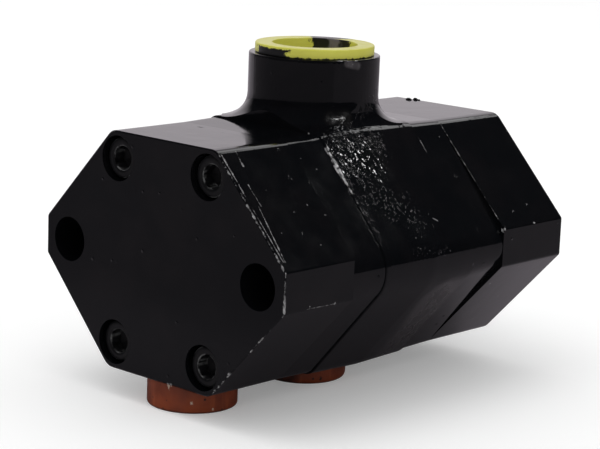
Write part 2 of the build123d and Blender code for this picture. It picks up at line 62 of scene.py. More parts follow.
def addCamera(setup):
    az, el, roll = (math.radians(setup[key]) for key in ("azimuth", "elevation", "roll"))
    ahead = Vector((-math.sin(az) * math.cos(el), math.cos(az) * math.cos(el), -math.sin(el)))
    level = Vector((math.cos(az), math.sin(az), 0))
    upright = level.cross(ahead)
    right = math.cos(roll) * level + math.sin(roll) * upright
    up = math.cos(roll) * upright - math.sin(roll) * level
    camera = bpy.data.objects.new("camera", bpy.data.cameras.new("camera"))
    bpy.context.scene.collection.objects.link(camera)
    camera.data.lens = setup["lens"]
    camera.data.sensor_width = setup["sensor"]
    camera.data.clip_start, camera.data.clip_end = setup["clip"]
    turn = Matrix((right, up, -ahead)).transposed().to_4x4()
    camera.matrix_world = Matrix.Translation(setup["place"]) @ turn
    bpy.context.scene.camera = camera


addCamera(cameraSetup)
print("camera placed")


class NodeTree:  # a node tree and short ways to add nodes to it
    def __init__(self, tree):
        self.tree = tree

    def plug(self, value, socket):
        if isinstance(value, bpy.types.NodeSocket):
            self.tree.links.new(value, socket)
        else:
            socket.default_value = value

    def add(self, kind, *values, **settings):
        node = self.tree.nodes.new(kind)
        for key, value in settings.items():
            setattr(node, key, value)
        for value, socket in zip(values, node.inputs):
            self.plug(value, socket)
        return node

    def math(self, operation, *values):
        return self.add("ShaderNodeMath", *values, operation=operation).outputs[0]

    def vector(self, operation, *values):
        node = self.add("ShaderNodeVectorMath", operation=operation)
        sockets = node.inputs
        if operation == "SCALE":
            sockets = (node.inputs[0], node.inputs["Scale"])
        for value, socket in zip(values, sockets):
            self.plug(value, socket)
        scalar = operation in ("DOT_PRODUCT", "LENGTH", "DISTANCE")
        return node.outputs["Value" if scalar else "Vector"]


class Shade(NodeTree):  # a material; its masks run from 0 to 1
    seedSpread = (1.0, 1.7, 0.6)  # how far a seed moves a noise along each axis, in metres

    def __init__(self, name):
        self.material = bpy.data.materials.new(name)
        self.material.use_nodes = True
        super().__init__(self.material.node_tree)
        self.tree.nodes.clear()
        self.shader = self.add("ShaderNodeBsdfPrincipled")
        self.add("ShaderNodeOutputMaterial", self.shader.outputs[0])
        self.place = self.add("ShaderNodeTexCoord").outputs["Object"]

    def axes(self):
        return self.add("ShaderNodeSeparateXYZ", self.place).outputs

    def mapped(self, seed, stretch=(1, 1, 1)):
        mapping = self.add("ShaderNodeMapping")
        self.plug(self.place, mapping.inputs["Vector"])
        mapping.inputs["Location"].default_value = [seed * share for share in self.seedSpread]
        mapping.inputs["Scale"].default_value = stretch
        return mapping.outputs[0]

    def noise(self, size, detail, rough, seed, stretch=(1, 1, 1), bend=0.0):
        node = self.add("ShaderNodeTexNoise")
        self.plug(self.mapped(seed, stretch), node.inputs["Vector"])
        node.inputs["Scale"].default_value = 1 / size
        node.inputs["Detail"].default_value = detail
        node.inputs["Roughness"].default_value = rough
        node.inputs["Distortion"].default_value = bend
        return node.outputs[0]

    def cells(self, size, seed):
        node = self.add("ShaderNodeTexVoronoi")
        self.plug(self.mapped(seed), node.inputs["Vector"])
        node.inputs["Scale"].default_value = 1 / size
        return node.outputs["Distance"]

    def between(self, value, low, high, toLow=0.0, toHigh=1.0):
        values = (value, low, high, toLow, toHigh)
        return self.add("ShaderNodeMapRange", *values, interpolation_type="SMOOTHSTEP").outputs[0]

    def mix(self, share, first, second):
        node = self.add("ShaderNodeMix", share, data_type="RGBA")
        for value, socket in ((first, node.inputs[6]), (second, node.inputs[7])):
            self.plug(value if isinstance(value, bpy.types.NodeSocket) else (*value, 1), socket)
        return node.outputs[2]

    def bump(self, height, depth, under=None):
        node = self.add("ShaderNodeBump")
        node.inputs["Strength"].default_value = 1.0
        node.inputs["Distance"].default_value = depth
        self.plug(height, node.inputs["Height"])
        if under:
            self.plug(under, node.inputs["Normal"])
        return node.outputs[0]

    def opposite(self, mask):
        return self.math("SUBTRACT", 1.0, mask)

    def both(self, first, *others):
        for mask in others:
            first = self.math("MULTIPLY", first, mask)
        return first

    def most(self, first, *others):
        for mask in others:
            first = self.math("MAXIMUM", first, mask)
        return first

    def fromAxis(self, across, along):
        squares = [self.math("POWER", value, 2.0) for value in (across, along)]
        return self.math("SQRT", self.math("ADD", *squares))

    def fromSegment(self, start, end):  # distance to the stretch between two points
        start, end = Vector(start) * mm, Vector(end) * mm
        along = end - start
        offset = self.vector("SUBTRACT", self.place, tuple(start))
        share = self.vector("DOT_PRODUCT", offset, tuple(along / along.length_squared))
        share = self.math("MINIMUM", self.math("MAXIMUM", share, 0.0), 1.0)
        return self.vector("DISTANCE", offset, self.vector("SCALE", tuple(along), share))

    def nearLine(self, start, end, width, seed):  # 1 on a line that breaks off and starts again
        setup = raggedSetup
        reach = width * mm
        ragged = self.noise(*setup["lineNoise"], seed)
        ragged = self.between(ragged, *setup["lineRange"], setup["lineGap"] * reach, reach)
        away = self.math("SUBTRACT", self.fromSegment(start, end), ragged)
        return self.opposite(self.between(away, *setup["lineFade"]))

    def nearPoint(self, middle, reach, seed):  # 1 round a point, fading out ragged
        setup = raggedSetup
        away = self.vector("DISTANCE", self.place, tuple(Vector(middle) * mm))
        ragged = self.noise(*setup["spotNoise"], seed)
        ragged = self.between(ragged, *setup["spotRange"], 0.0, reach * mm)
        away = self.math("SUBTRACT", away, ragged)
        return self.opposite(self.between(away, *setup["spotFade"]))

    def finish(self, **sockets):
        for name, value in sockets.items():
            if name == "Base_Color" and not isinstance(value, bpy.types.NodeSocket):
                value = (*value, 1)
            self.plug(value, self.shader.inputs[name.replace("_", " ")])
        return self.material


# In the setups a noise is size, detail and roughness, then a seed where all uses share one, and
# at times a stretch and a bend. A range is where a mask starts and ends, at times with the values
# that it gives there.

# How worn lines and chips, and the painted highlight lines and glints, break up. The gap is a
# share of the line's width.
raggedSetup = {
    "lineNoise": (6 * mm, 6, 0.75),
    "lineRange": (0.36, 0.68),
    "lineGap": -0.08,
    "lineFade": (-0.22 * mm, 0.04 * mm),
    "spotNoise": (1.6 * mm, 4, 0.7),
    "spotRange": (0.3, 0.7),
    "spotFade": (-0.3 * mm, 0.1 * mm),
}

# Paint: black over cast and machined iron, chipped and scuffed where the photograph shows it,
# with painted highlights and glints laid on in the same light grey as the scuffs
paintSetup = {
    "dark": (0.0018, 0.0021, 0.0027),
    "dusty": (0.0036, 0.0034, 0.004),
    "dustNoise": (26 * mm, 5, 0.62, 5),
    "dustRange": (0.42, 0.72),
    "roughNoise": (15 * mm, 4, 0.6, 12),
    "roughRange": (0.3, 0.7),
    "ior": 1.4,
    "nick": (0.001, 0.001, 0.001),
    "waveNoise": (14 * mm, 2, 0.5, 8),
    "waveDepth": 0.04 * mm,
    "peelNoise": (2.4 * mm, 2, 0.5, 3),
    "peelDepth": 0.008 * mm,
    "speckCells": (8 * mm, 21),
    "speckRange": (0.04, 0.1),
    "sparseNoise": (22 * mm, 2, 0.5, 31),
    "sparseRange": (0.47, 0.57),
    "speckHeight": 0.25 * mm,
    "gritNoise": (1.3 * mm, 1.6, 0.55, 17, (0.6, 1.0, 0.6), 0.4),
    "gritRange": (0.47, 0.6),
    "gritThinning": 0.28,
    "gritDepth": 0.45 * mm,
    "greyPatchCore": 0.35,
    "greyPatchNoise": (7 * mm, 5, 0.65, 23, (0.6, 1, 0.6)),
    "greyPatchRange": (0.3, 0.62, 0.5, 1.0),
    "greyPatchTint": (1.0, 0.9, 0.97),
    "greyPatchRough": 0.35,
    # light grey of scuffs and chips, and of painted highlights and glints
    "scuffAndHighlight": (0.6, 0.59, 0.6),
    "scuffAndHighlightNoise": (2.2 * mm, 4, 0.7, 41),
    "scuffAndHighlightRange": (0.3, 0.75),
    "scuffAndHighlightLow": 0.2,
    "scuffAndHighlightRough": 0.6,
}

# Wear and painted highlights, with their places in millimetres. Lines: start, end, width, seed.
# Chips, glints and nicks: middle, reach, seed. Grits: start, end, reach, how dense.
# Grey patches: start, end, reach, grey.
plainWear = {
    "lines": [],
    "chipsAndGlints": [],
    "nicks": [],
    "grits": [],
    "greyPatches": [],
    "rough": (0.05, 0.12),
    "scuffAndHighlightTone": 1.0,
}
coverWearAndHighlights = {
    "lines": [
        ((51.8, -188.3, 53.0), (93.4, -188.3, 8.8), 0.8, 1.0),
        ((51.8, -188.3, 53.0), (93.4, -188.3, 8.8), 0.5, 51.0),
        ((53.5, -186.9, 51.3), (90.1, -186.3, 12.3), 0.55, 2.0),
        ((53.2, -178.2, 51.5), (58.1, -178.7, 46.4), 0.8, 3.0),
        ((64.4, -181.7, 39.6), (71.7, -181.2, 31.9), 0.7, 4.0),
        ((71.7, -182.7, 31.9), (90.1, -185.4, 12.3), 0.6, 5.0),
        ((93.4, -188.3, 8.8), (93.4, -188.3, -8.8), 0.9, 6.0),
        ((93.4, -188.3, -8.8), (51.8, -188.3, -53.0), 0.65, 7.0),
        ((93.5, -175.0, -8.4), (93.5, -152.0, -8.9), 0.32, 8.0),
    ],
    "chipsAndGlints": [
        ((93.5, -173.1, -7.6), 0.7, 1.0),
        ((93.5, -157.7, -8.6), 0.9, 2.0),
        ((9.7, -188.5, -52.7), 1.1, 3.0),
        ((26.8, -188.5, -53.0), 1.4, 4.0),
        ((28.6, -188.5, -52.6), 1.2, 4.5),
        ((50.6, -188.5, -48.0), 1.3, 5.0),
        ((55.5, -188.5, -49.5), 1.6, 6.0),
        ((57.5, -188.5, -47.3), 1.1, 6.5),
        ((63.4, -188.5, -40.5), 1.5, 7.0),
        ((-39.3, -188.5, -9.2), 1.0, 8.0),
        # on the upper slant: chips, and painted glints as small light spots
        ((66.8, -173.6, 37.0), 0.5, 9.0),
        ((75.2, -165.1, 28.1), 0.7, 10.0),
        ((92.9, -169.1, 9.4), 0.6, 11.0),
        ((73.7, -155.7, 29.7), 0.7, 12.0),
        ((87.0, -160.7, 15.6), 0.5, 22.0),
        ((81.1, -178.4, 21.9), 0.5, 23.0),
    ],
    "nicks": [((4.0, -151.3, 53.0), 1.5, 1.0), ((6.0, -151.9, 53.0), 1.2, 2.0)],
    "scuffAndHighlightTone": 0.55,
}
housingWearAndHighlights = {
    "lines": [
        ((70.1, -145.2, 33.5), (74.9, -147.0, 28.5), 0.35, 14.0),
        ((82.8, -145.8, 20.0), (90.1, -146.2, 12.3), 0.35, 24.0),
        # the seam with the port block: partly a chipped edge, partly a painted highlight on its
        # edge
        ((57.0, -126.9, 48.3), (67.4, -126.9, 36.8), 0.9, 15.0),
    ],
    "chipsAndGlints": [
        # light spots on the upper slant: painted glints, with chips
        ((58.2, -143.7, 46.2), 0.7, 13.0),
        ((62.6, -138.1, 41.6), 0.8, 14.0),
        ((90.2, -145.0, 12.2), 0.5, 15.0),
    ],
    "scuffAndHighlightTone": 0.7,
}
blockWearAndHighlights = {
    "lines": [
        # along the seam with the rear housing: a light line, partly a chipped edge and partly a
        # painted highlight on the step's edge
        ((57.0, -126.2, 48.3), (67.4, -126.2, 36.8), 1.4, 11.0),
        ((57.0, -126.2, 48.3), (70.0, -126.2, 34.0), 1.1, 51.0),
        ((67.4, -126.2, 36.8), (76.0, -126.2, 27.5), 0.8, 12.0),
        ((76.0, -126.2, 27.5), (91.0, -126.2, 11.4), 0.5, 13.0),
        ((46.0, -126.4, 53.8), (56.0, -126.4, 49.0), 0.35, 16.0),
        ((81.0, -100.0, 22.0), (84.0, -93.0, 19.0), 0.5, 17.0),
        ((68.0, -95.0, 35.7), (69.4, -89.0, 34.3), 0.4, 18.0),
        ((83.5, -90.0, 19.6), (86.5, -84.0, 16.3), 0.6, 19.0),
    ],
    "chipsAndGlints": [
        ((48.4, -102.0, 82.6), 0.5, 16.0),
        ((69.0, -112.0, 34.8), 0.5, 17.0),
        # painted glints: small light spots along the slant's top edge
        ((56.6, -104.4, 53.8), 0.5, 24.0),
        ((54.2, -99.2, 55.3), 0.6, 25.0),
        ((58.4, -100.5, 53.6), 0.5, 26.0),
    ],
    "grits": [
        ((54.0, -122.0, 51.0), (57.0, -98.0, 48.0), 15.0, 1.0),
        ((58.0, -124.0, 47.0), (68.0, -118.0, 36.0), 13.0, 1.0),
        ((60.0, -125.0, 44.0), (90.0, -125.0, 12.0), 6.0, 0.68),
        ((74.0, -116.0, 30.0), (84.0, -98.0, 19.0), 18.0, 0.58),
        ((95.0, -108.0, 7.0), (96.0, -86.0, 5.0), 5.0, 0.8),
        ((49.5, -98.0, 59.0), (45.5, -81.0, 68.0), 8.0, 0.75),
    ],
    # grey patches: a lighter, rougher band on the lower slant, a pale mark on the boss rim and a
    # dark, rough spot on the boss foot
    "greyPatches": [
        ((84.0, -78.0, -20.0), (76.0, -76.5, -29.0), 15.0, 0.048),
        ((84.0, -78.0, -20.0), (56.0, -75.0, -49.0), 15.0, 0.024),
        ((47.9, -104.6, 83.0), (48.8, -99.2, 81.6), 2.4, 0.06),
        ((46.5, -112.0, 58.6), (49.2, -106.0, 58.8), 6.0, 0.003),
    ],
    "rough": (0.05, 0.11),
}
sliceWear = {"lines": [((52.0, -65.0, 53.0), (88.0, -65.0, 15.0), 0.45, 20.0)]}
flangeWear = {
    "lines": [
        ((52.0, -44.4, 53.0), (75.0, -44.4, 28.6), 0.45, 21.0),
        ((60.0, -44.4, 44.5), (90.0, -44.4, 12.8), 0.5, 22.0),
    ],
    "chipsAndGlints": [
        ((93.6, -44.4, 8.8), 2.2, 18.0),
        ((93.5, -22.0, 8.8), 1.5, 21.0),
        ((73.4, -19.6, -30.1), 0.5, 19.0),
        ((83.8, -40.0, -19.0), 0.8, 20.0),
    ],
}


def blackPaint(name, wearAndHighlights):
    setup = paintSetup
    wearAndHighlights = {**plainWear, **wearAndHighlights}
    shade = Shade(name)
    dust = shade.between(shade.noise(*setup["dustNoise"]), *setup["dustRange"])
    colour = shade.mix(dust, setup["dark"], setup["dusty"])
    rough = shade.noise(*setup["roughNoise"])
    rough = shade.between(rough, *setup["roughRange"], *wearAndHighlights["rough"])
    for nick in wearAndHighlights["nicks"]:
        dull = shade.nearPoint(*nick)
        colour = shade.mix(dull, colour, setup["nick"])
        rough = shade.most(rough, dull)
    normal = shade.bump(shade.noise(*setup["waveNoise"]), setup["waveDepth"])
    normal = shade.bump(shade.noise(*setup["peelNoise"]), setup["peelDepth"], normal)
    specks = shade.opposite(shade.between(shade.cells(*setup["speckCells"]), *setup["speckRange"]))
    sparse = shade.between(shade.noise(*setup["sparseNoise"]), *setup["sparseRange"])
    normal = shade.bump(shade.both(specks, sparse), setup["speckHeight"], normal)
    if wearAndHighlights["grits"]:  # runs and drops of thick paint
        dense = []
        for start, end, reach, share in wearAndHighlights["grits"]:
            away = shade.fromSegment(start, end)
            dense.append(shade.between(away, reach * mm, 0.0, 0.0, share))
        thinner = shade.math("SUBTRACT", shade.most(*dense), 1.0)
        drops = shade.noise(*setup["gritNoise"])
        drops = shade.math("ADD", drops, shade.both(thinner, setup["gritThinning"]))
        normal = shade.bump(shade.between(drops, *setup["gritRange"]), setup["gritDepth"], normal)
    # grey patches, lighter or darker than the paint, which also roughen it
    for start, end, reach, grey in wearAndHighlights["greyPatches"]:
        away = shade.fromSegment(start, end)
        near = shade.between(away, reach * mm, setup["greyPatchCore"] * reach * mm)
        grain = shade.between(shade.noise(*setup["greyPatchNoise"]), *setup["greyPatchRange"])
        near = shade.both(near, grain)
        colour = shade.mix(near, colour, [tint * grey for tint in setup["greyPatchTint"]])
        rough = shade.most(rough, shade.both(near, setup["greyPatchRough"]))
    # light grey marks: worn lines and chips, with painted highlights on seam edges and painted
    # glints on the slants
    marks = [shade.nearLine(*line) for line in wearAndHighlights["lines"]]
    marks += [shade.nearPoint(*lightSpot) for lightSpot in wearAndHighlights["chipsAndGlints"]]
    if marks:
        high = wearAndHighlights["scuffAndHighlightTone"]
        tone = shade.noise(*setup["scuffAndHighlightNoise"])
        tone = shade.between(tone, *setup["scuffAndHighlightRange"], setup["scuffAndHighlightLow"] * high, high)
        wornAndHighlit = shade.both(shade.most(*marks), tone)
        colour = shade.mix(wornAndHighlit, colour, setup["scuffAndHighlight"])
        rough = shade.most(rough, shade.both(wornAndHighlit, setup["scuffAndHighlightRough"]))
    return shade.finish(Base_Color=colour, Roughness=rough, Normal=normal, IOR=setup["ior"])


paints = {
    "rear_cover": blackPaint("coverPaint", coverWearAndHighlights),
    "rear_gear_housing": blackPaint("housingPaint", housingWearAndHighlights),
    "centre_port_block": blackPaint("blockPaint", blockWearAndHighlights),
    "front_gear_housing": blackPaint("slicePaint", sliceWear),
    "front_cover": blackPaint("flangePaint", flangeWear),
}
print("paint mixed")

# Bare metal: ground steel for what isn't named otherwise, bronze for bushes and wear plates
metalSetup = {
    "groundSteel": {"colour": (0.56, 0.56, 0.57), "rough": (0.22, 0.4)},
    "ringSteel": {"colour": (0.12, 0.12, 0.125), "rough": (0.35, 0.5)},
    "bushBronze": {"colour": (0.62, 0.42, 0.19), "rough": (0.25, 0.42)},
    "stainNoise": (9 * mm, 4, 0.6, 9),
    "stainRange": (0.35, 0.75),
    "stainShare": 0.6,
    "roughRange": (0.3, 0.7),
    "grooveNoise": (0.5 * mm, 2, 0.5, 4, (0.15, 1.0, 0.15)),
    "grooveDepth": 0.01 * mm,
}
rubberSetup = {
    "colours": ((0.012, 0.012, 0.012), (0.028, 0.027, 0.026)),
    "grainNoise": (0.8 * mm, 3, 0.6, 6),
    "grainDepth": 0.03 * mm,
    "rough": 0.55,
}


def machinedMetal(name, setup):
    shade = Shade(name)
    colour = setup[name]["colour"]
    stain = shade.noise(*setup["stainNoise"])
    stained = [channel * setup["stainShare"] for channel in colour]
    tone = shade.mix(shade.between(stain, *setup["stainRange"]), colour, stained)
    rough = shade.between(stain, *setup["roughRange"], *setup[name]["rough"])
    normal = shade.bump(shade.noise(*setup["grooveNoise"]), setup["grooveDepth"])
    return shade.finish(Base_Color=tone, Metallic=1.0, Roughness=rough, Normal=normal)


def sealRubber(name, setup):
    shade = Shade(name)
    grain = shade.noise(*setup["grainNoise"])
    tone = shade.mix(grain, *setup["colours"])
    normal = shade.bump(grain, setup["grainDepth"])
    return shade.finish(Base_Color=tone, Roughness=setup["rough"], Normal=normal)


groundSteel = machinedMetal("groundSteel", metalSetup)
ringSteel = machinedMetal("ringSteel", metalSetup)
bushBronze = machinedMetal("bushBronze", metalSetup)
rubber = sealRubber("sealRubber", rubberSetup)
for name, obj in nodes.items():
    finish = groundSteel
    if name.endswith(("_bush", "_wear_plate")):
        finish = bushBronze
    elif name.endswith("_seal"):
        finish = rubber
    elif name == "seal_ring":
        finish = ringSteel
    obj.data.materials.clear()
    obj.data.materials.append(finish)
print("inner pieces finished")


def newPiece(name, mesh, body, slot, *replaced):
    obj = bpy.data.objects.new(name, mesh)
    bpy.context.scene.collection.objects.link(obj)
    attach(obj, body)
    if replaced:
        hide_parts(*replaced)
    return obj


def smoothBelow(mesh, degrees):
    mesh.shade_smooth()
    mesh.set_sharp_from_angle(angle=math.radians(degrees))


class Growth(NodeTree):  # a geometry node tree with named inputs
    def __init__(self, name, inputs):
        super().__init__(bpy.data.node_groups.new(name, "GeometryNodeTree"))
        self.newSocket("Geometry", "INPUT", "NodeSocketGeometry")
        self.sockets = {}
        for label, kind in inputs.items():
            self.sockets[label] = self.newSocket(label, "INPUT", kind)
        self.newSocket("Geometry", "OUTPUT", "NodeSocketGeometry")
        self.given = self.tree.nodes.new("NodeGroupInput").outputs

    def newSocket(self, label, side, kind):
        return self.tree.interface.new_socket(label, in_out=side, socket_type=kind)

    def finish(self, geometry):  # real geometry with its paint on
        whole = self.add("GeometryNodeRealizeInstances", geometry)
        painted = self.add("GeometryNodeSetMaterial", whole.outputs[0])
        self.plug(self.given["Paint"], painted.inputs["Material"])
        self.add("NodeGroupOutput", painted.outputs[0])

    def apply(self, obj, values):  # runs the tree on an object and keeps the plain mesh
        modifier = obj.modifiers.new("growth", "NODES")
        modifier.node_group = self.tree
        for label, value in values.items():
            modifier[self.sockets[label].identifier] = value
        evaluated = obj.evaluated_get(bpy.context.evaluated_depsgraph_get())
        mesh = bpy.data.meshes.new_from_object(evaluated)
        obj.modifiers.remove(modifier)
        return mesh


# Cast skin: the castings' outer faces are made finer and moved by a noise, more under the grit
castings = {
    "rear_cover": "rearCoverCasting",
    "rear_gear_housing": "rearHousingCasting",
    "centre_port_block": "portBlockCasting",
    "front_gear_housing": "frontHousingCasting",
    "front_cover": "frontCoverCasting",
}
castingSetup = {
    "passes": 7,
    "coarseEdge": 2.2 * mm,
    "patchEdge": 0.75 * mm,
    "patchShare": 0.95,
    "weld": 0.002 * mm,
    "bossFoot": 0.0538,
    "plugSeat": 0.0228,
    "sideSlope": 0.6,
    "outerDepth": 0.7 * mm,
    "fineDetail": 3,
    "patchDetail": 2,
    "patchBend": 0.8,
    "patchFade": (0.4, 1.0, 1.0, 0.0),
    "seedStep": 0.37,
    "smooth": 26,
    "Fine Size": 9 * mm,
    "Fine Height": 0.06 * mm,
    "Patch Size": 3.0 * mm,
    "Patch Height": 0.7 * mm,
    "Patch Middle": (0.058, -0.112, 0.047),
    "Patch Reach": (0.026, 0.022, 0.026),
}


def castSkinTree(setup):
    growth = Growth(
        "castSkin",
        {
            "Fine Size": "NodeSocketFloat",
            "Fine Height": "NodeSocketFloat",
            "Patch Size": "NodeSocketFloat",
            "Patch Height": "NodeSocketFloat",
            "Patch Middle": "NodeSocketVector",
            "Patch Reach": "NodeSocketVector",
            "Seed": "NodeSocketFloat",
            "Paint": "NodeSocketMaterial",
        },
    )
    given = growth.given
    place = growth.add("GeometryNodeInputPosition").outputs[0]
    shifted = growth.vector("ADD", place, given["Seed"])

    def swell(size, height, detail, bend):
        node = growth.add("ShaderNodeTexNoise")
        growth.plug(shifted, node.inputs["Vector"])
        growth.plug(growth.math("DIVIDE", 1.0, given[size]), node.inputs["Scale"])
        node.inputs["Detail"].default_value = detail
        node.inputs["Distortion"].default_value = bend
        level = growth.math("SUBTRACT", node.outputs[0], 0.5)
        return growth.math("MULTIPLY", level, given[height])

    fine = swell("Fine Size", "Fine Height", setup["fineDetail"], 0.0)
    coarse = swell("Patch Size", "Patch Height", setup["patchDetail"], setup["patchBend"])
    away = growth.vector("SUBTRACT", place, given["Patch Middle"])
    away = growth.vector("LENGTH", growth.vector("DIVIDE", away, given["Patch Reach"]))
    patch = growth.add("ShaderNodeMapRange", away, *setup["patchFade"]).outputs[0]
    rise = growth.math("ADD", fine, growth.math("MULTIPLY", coarse, patch))
    outside = growth.add("GeometryNodeInputNamedAttribute", "outside", data_type="FLOAT")
    rise = growth.math("MULTIPLY", rise, outside.outputs["Attribute"])
    normal = growth.add("GeometryNodeInputNormal").outputs[0]
    moved = growth.add("GeometryNodeSetPosition", given["Geometry"])
    growth.plug(growth.vector("SCALE", normal, rise), moved.inputs["Offset"])
    growth.finish(moved.outputs[0])
    return growth


# The boss, and the faces that lie as far out as the casting reaches along their own normal
def outsideFaces(shape, setup):
    found = []
    foot = setup["bossFoot"]
    points = np.array([vert.co for vert in shape.verts if vert.co.z < foot])
    for face in shape.faces:
        face.normal_update()
        normal = face.normal
        middle = face.calc_center_median()
        fromPort = math.hypot(middle.x - middleX, middle.y - portY)
        if middle.z > foot and fromPort > setup["plugSeat"]:
            found.append(face)
        elif abs(normal.y) < setup["sideSlope"]:
            farthest = (points @ np.array(normal)).max()
            if normal.dot(middle) > farthest - setup["outerDepth"]:
                found.append(face)
    return found


def edgeLengthAt(place, setup):
    away = place - Vector(setup["Patch Middle"])
    share = Vector(a / b for a, b in zip(away, setup["Patch Reach"])).length
    return setup["patchEdge"] if share < setup["patchShare"] else setup["coarseEdge"]


def refinedCopy(node, setup):
    shape = bmesh.new()
    shape.from_mesh(nodes[node].data)
    bmesh.ops.remove_doubles(shape, verts=shape.verts, dist=setup["weld"])
    marked = shape.faces.layers.int.new("outsideFace")
    for face in outsideFaces(shape, setup):
        face[marked] = 1
    for _ in range(setup["passes"]):
        tooLong = []
        for edge in shape.edges:
            if any(face[marked] for face in edge.link_faces):
                middle = (edge.verts[0].co + edge.verts[1].co) / 2
                if edge.calc_length() > edgeLengthAt(middle, setup):
                    tooLong.append(edge)
        bmesh.ops.subdivide_edges(shape, edges=tooLong, cuts=1)
        manySided = [face for face in shape.faces if len(face.verts) > 3]
        bmesh.ops.triangulate(shape, faces=manySided)
    outside = shape.verts.layers.float.new("outside")
    for vert in shape.verts:
        vert[outside] = 1.0 if all(face[marked] for face in vert.link_faces) else 0.0
    mesh = bpy.data.meshes.new(node)
    shape.to_mesh(mesh)
    shape.free()
    for spare in ("outsideFace", "custom_normal"):
        if spare in mesh.attributes:
            mesh.attributes.remove(mesh.attributes[spare])
    return mesh


castSkin = castSkinTree(castingSetup)
for index, (node, name) in enumerate(castings.items()):
    blank = bpy.data.objects.new(name + "Blank", refinedCopy(node, castingSetup))
    bpy.context.scene.collection.objects.link(blank)
    values = {key: castingSetup[key] for key in castSkin.sockets if key in castingSetup}
    values["Seed"] = castingSetup["seedStep"] * index
    values["Paint"] = paints[node]
    if node != "centre_port_block":
        values["Patch Height"] = 0.0
    mesh = castSkin.apply(blank, values)
    bpy.data.objects.remove(blank)
    smoothBelow(mesh, castingSetup["smooth"])
    newPiece(name, mesh, "casing", "casing_paint", node)
    print("casting", name, len(mesh.polygons))


# Rings of points round an axis, closed at both ends. The profile holds radius and height.
def ringMesh(name, profile, middle, sides, radiusAt, axis="Z", direction=1):
    shape = bmesh.new()
    rings = []
    for index, (radius, height) in enumerate(profile):
        ring = []
        for step in range(sides if radius > 0 else 1):
            angle = 2 * math.pi * step / sides
            r = radiusAt(index, angle, radius) if radius > 0 else radius
            x, y, along = r * math.cos(angle), r * math.sin(angle), direction * height
            place = Vector((x, y, along) if axis == "Z" else (x, along, y))
            ring.append(shape.verts.new((place + Vector(middle)) * mm))
        rings.append(ring)
    for low, high in zip(rings, rings[1:]):
        for step in range(sides):
            corners = []
            for ring, turn in ((low, step), (low, step + 1), (high, step + 1), (high, step)):
                corners.append(ring[turn % sides % len(ring)])
            unique = list(dict.fromkeys(corners))
            if len(unique) > 2:
                shape.faces.new(unique)
    bmesh.ops.recalc_face_normals(shape, faces=shape.faces)
    mesh = bpy.data.meshes.new(name)
    shape.to_mesh(mesh)
    shape.free()
    return mesh


# A profile with each corner rounded by its radius, as far as the sides beside it have room
def roundedRun(points, radii, steps, room=0.45):
    run = []
    for index, (point, radius) in enumerate(zip(points, radii)):
        here = Vector(point)
        if radius <= 0:
            run.append(tuple(here))
            continue
        back = Vector(points[index - 1]) - here
        on = Vector(points[index + 1]) - here
        before, after = back.normalized(), on.normalized()
        inset = radius / math.tan(before.angle(after) / 2)
        inset = min(inset, room * min(back.length, on.length))
        start, end = here + before * inset, here + after * inset
        for step in range(steps + 1):
            share = step / steps
            bent = (1 - share) ** 2 * start + 2 * share * (1 - share) * here + share**2 * end
            run.append(tuple(bent))
    return run


# Yellow plug in the inlet. Its profile holds radius and height over the boss, in millimetres.
# Turns go round the boss in degrees, and what softens or shifts them is in radians.
inletPlug = {
    "points": [
        (0, -18), (21.4, -18), (22.3, -1.2), (22.3, 0), (27, 0), (27, 4.5), (19.3, 4.5),
        (18.45, -15.9), (1.6, -15.9), (1.2, -15.4), (0, -15.4),
    ],
    "radii": [0, 1.2, 0, 0, 0.5, 0.7, 0.6, 1.2, 0, 0, 0],
    "roundSteps": 5,
    "sides": 160,
    "smooth": 40,
    "wobble": 0.09,
    "wobbleTurns": 2.2,
    "wobbleRise": 0.13,
    "yellows": ((0.62, 0.61, 0.1), (0.56, 0.54, 0.055)),
    "flowNoise": (12 * mm, 3, 0.5, 3),
    "roughRange": (0.3, 0.7, 0.3, 0.42),
    "dentNoise": (4 * mm, 2, 0.5, 6),
    "dentDepth": 0.03 * mm,
    "glow": 0.12,
    "glowReach": (0.002, 0.002, 0.0006),
    "paint": (0.008, 0.008, 0.009),
    "paintDepth": 0.08 * mm,
    "wanderNoise": (3 * mm, 4, 0.65, 7),
    "wanderRange": (0.2, 0.8, -0.09, 0.09),
    "turnSoft": 0.02,
    "flangeSide": (26.0 * mm, 26.4 * mm),
    "runNoise": (1.7 * mm, 4, 0.7, 15),
    "runRange": (0.2, 0.8, -0.6 * mm, 0.6 * mm),
    "splashTurn": (-118, -73),
    "splashTop": (3.3 * mm, 3.6 * mm),
    "seatLineTop": (0.25 * mm, 0.6 * mm),
    "wellWall": (19.5 * mm, 19.8 * mm),
    "sunkNoise": (5 * mm, 4, 0.6, 19),
    "sunkRange": (0.2, 0.8, -4 * mm, 4 * mm),
    "wellBottom": (-9 * mm, -8 * mm),
    "wellTurn": (77, 138),
    "rimTop": (3.9 * mm, 4.2 * mm),
    "rimTurn": (84, 137),
    "rimWidens": (84, 110),
    "rimInner": (27.5 * mm, 18.5 * mm),
    "rimEdge": (-0.4 * mm, 0.4 * mm),
    # pale grey of the painted sheen on the well's black paint
    "paintedSheen": (0.2, 0.175, 0.19),
    "paintedSheenTurn": (97, 113, 0.07),
    "paintedSheenShare": 0.6,
}


def plugWobble(index, angle, radius):
    turns, rise = inletPlug["wobbleTurns"], inletPlug["wobbleRise"]
    place = Vector((math.cos(angle) * turns, math.sin(angle) * turns, index * rise))
    return radius - inletPlug["wobble"] * abs(noise.noise(place))


